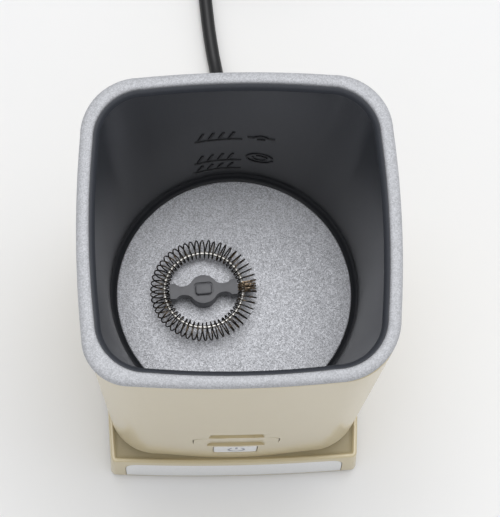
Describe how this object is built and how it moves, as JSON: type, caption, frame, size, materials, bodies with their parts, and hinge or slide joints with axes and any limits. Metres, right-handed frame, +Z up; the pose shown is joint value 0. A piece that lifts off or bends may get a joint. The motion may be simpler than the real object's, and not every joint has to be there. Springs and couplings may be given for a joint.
{
  "type": "milk frother",
  "caption": "Square milk frother jug with a magnetic coil whisk, heated floor and front key, standing on a corded power base.",
  "frame": {"origin": "on the table, under the middle of the jug and base", "axes": "+Z up, the key and front plate face -Y, the cord leaves towards +Y"},
  "size_m": [0.1117, 0.2927, 0.17],
  "materials": {
    "beige_enamel": "glossy beige",
    "silver_paint": "fine metallic silver, satin",
    "charcoal_coating": "satin charcoal non-stick",
    "sparkle_coating": "coarse light grey granular coating",
    "dark_plastic": "satin dark grey",
    "black_plastic": "moulded black",
    "steel": "bright",
    "black_rubber": "matt",
    "brass": "plain",
    "board_green": "solder resist",
    "white_plastic": "natural"
  },
  "bodies": {
    "base": {"base_shell": "beige_enamel", "front_plate": "silver_paint", "base_connector": "black_plastic", "base_bottom_plate": "black_plastic", "ballast_plate": "steel", "strain_relief": "black_rubber", "cord_clamp": "black_plastic", "cord": "black_rubber", "cord_coil": "black_rubber", "cord_tail": "black_rubber", "cord_tie": "black_plastic", "plug": "black_plastic", "plug_pin_1": "brass", "plug_pin_2": "brass", "base_screw_1": "steel", "base_screw_2": "steel", "base_screw_3": "steel", "rubber_foot_1": "black_rubber", "rubber_foot_2": "black_rubber", "rubber_foot_3": "black_rubber", "rubber_foot_4": "black_rubber"},
    "jug": {"outer_body": "beige_enamel", "control_panel": "beige_enamel", "rim_bezel": "silver_paint", "lip_seal": "charcoal_coating", "chamber_liner": "charcoal_coating", "floor_disc": "sparkle_coating", "floor_seal": "black_rubber", "spindle_pin": "steel", "motor": "steel", "motor_bracket": "white_plastic", "heater_ring": "steel", "heater_clamp": "steel", "temperature_sensor": "brass", "thermal_fuse": "white_plastic", "circuit_board": "board_green", "tact_switch": "black_plastic", "relay": "white_plastic", "jug_bottom_cover": "black_plastic", "jug_socket": "black_plastic", "cover_screw_1": "steel", "cover_screw_2": "steel", "cover_screw_3": "steel"},
    "key": {"power_key": "silver_paint"},
    "drive": {"drive_rotor": "white_plastic", "drive_magnet_1": "steel", "drive_magnet_2": "steel", "motor_shaft": "steel"},
    "bearing": {"whisk_bearing": "brass"},
    "whisk": {"whisk_hub": "dark_plastic", "whisk_magnet": "steel", "whisk_core_ring": "steel", "whisk_coil": "steel"}
  },
  "joints": [
    {"name": "jug_lift", "type": "slide", "parent": "base", "child": "jug", "axis": [0, 0, 1], "range_m": [0, 0.06]},
    {"name": "key_press", "type": "slide", "parent": "jug", "child": "key", "axis": [0, 1, 0], "range_m": [0, 0.0012], "stiffness_N_per_m": 900},
    {"name": "rotor_spin", "type": "hinge", "parent": "jug", "child": "drive", "pos_m": [-0.0111, 0, 0.068], "axis": [0, 0, 1], "continuous": true},
    {"name": "whisk_lift", "type": "slide", "parent": "jug", "child": "bearing", "axis": [0, 0, 1], "range_m": [0, 0.11]},
    {"name": "whisk_spin", "type": "hinge", "parent": "bearing", "child": "whisk", "pos_m": [-0.0111, 0, 0.0838], "axis": [0, 0, 1], "continuous": true}
  ],
  "couplings": [
    {"joint": "whisk_spin", "follows": "rotor_spin", "ratio": 1}
  ]
}
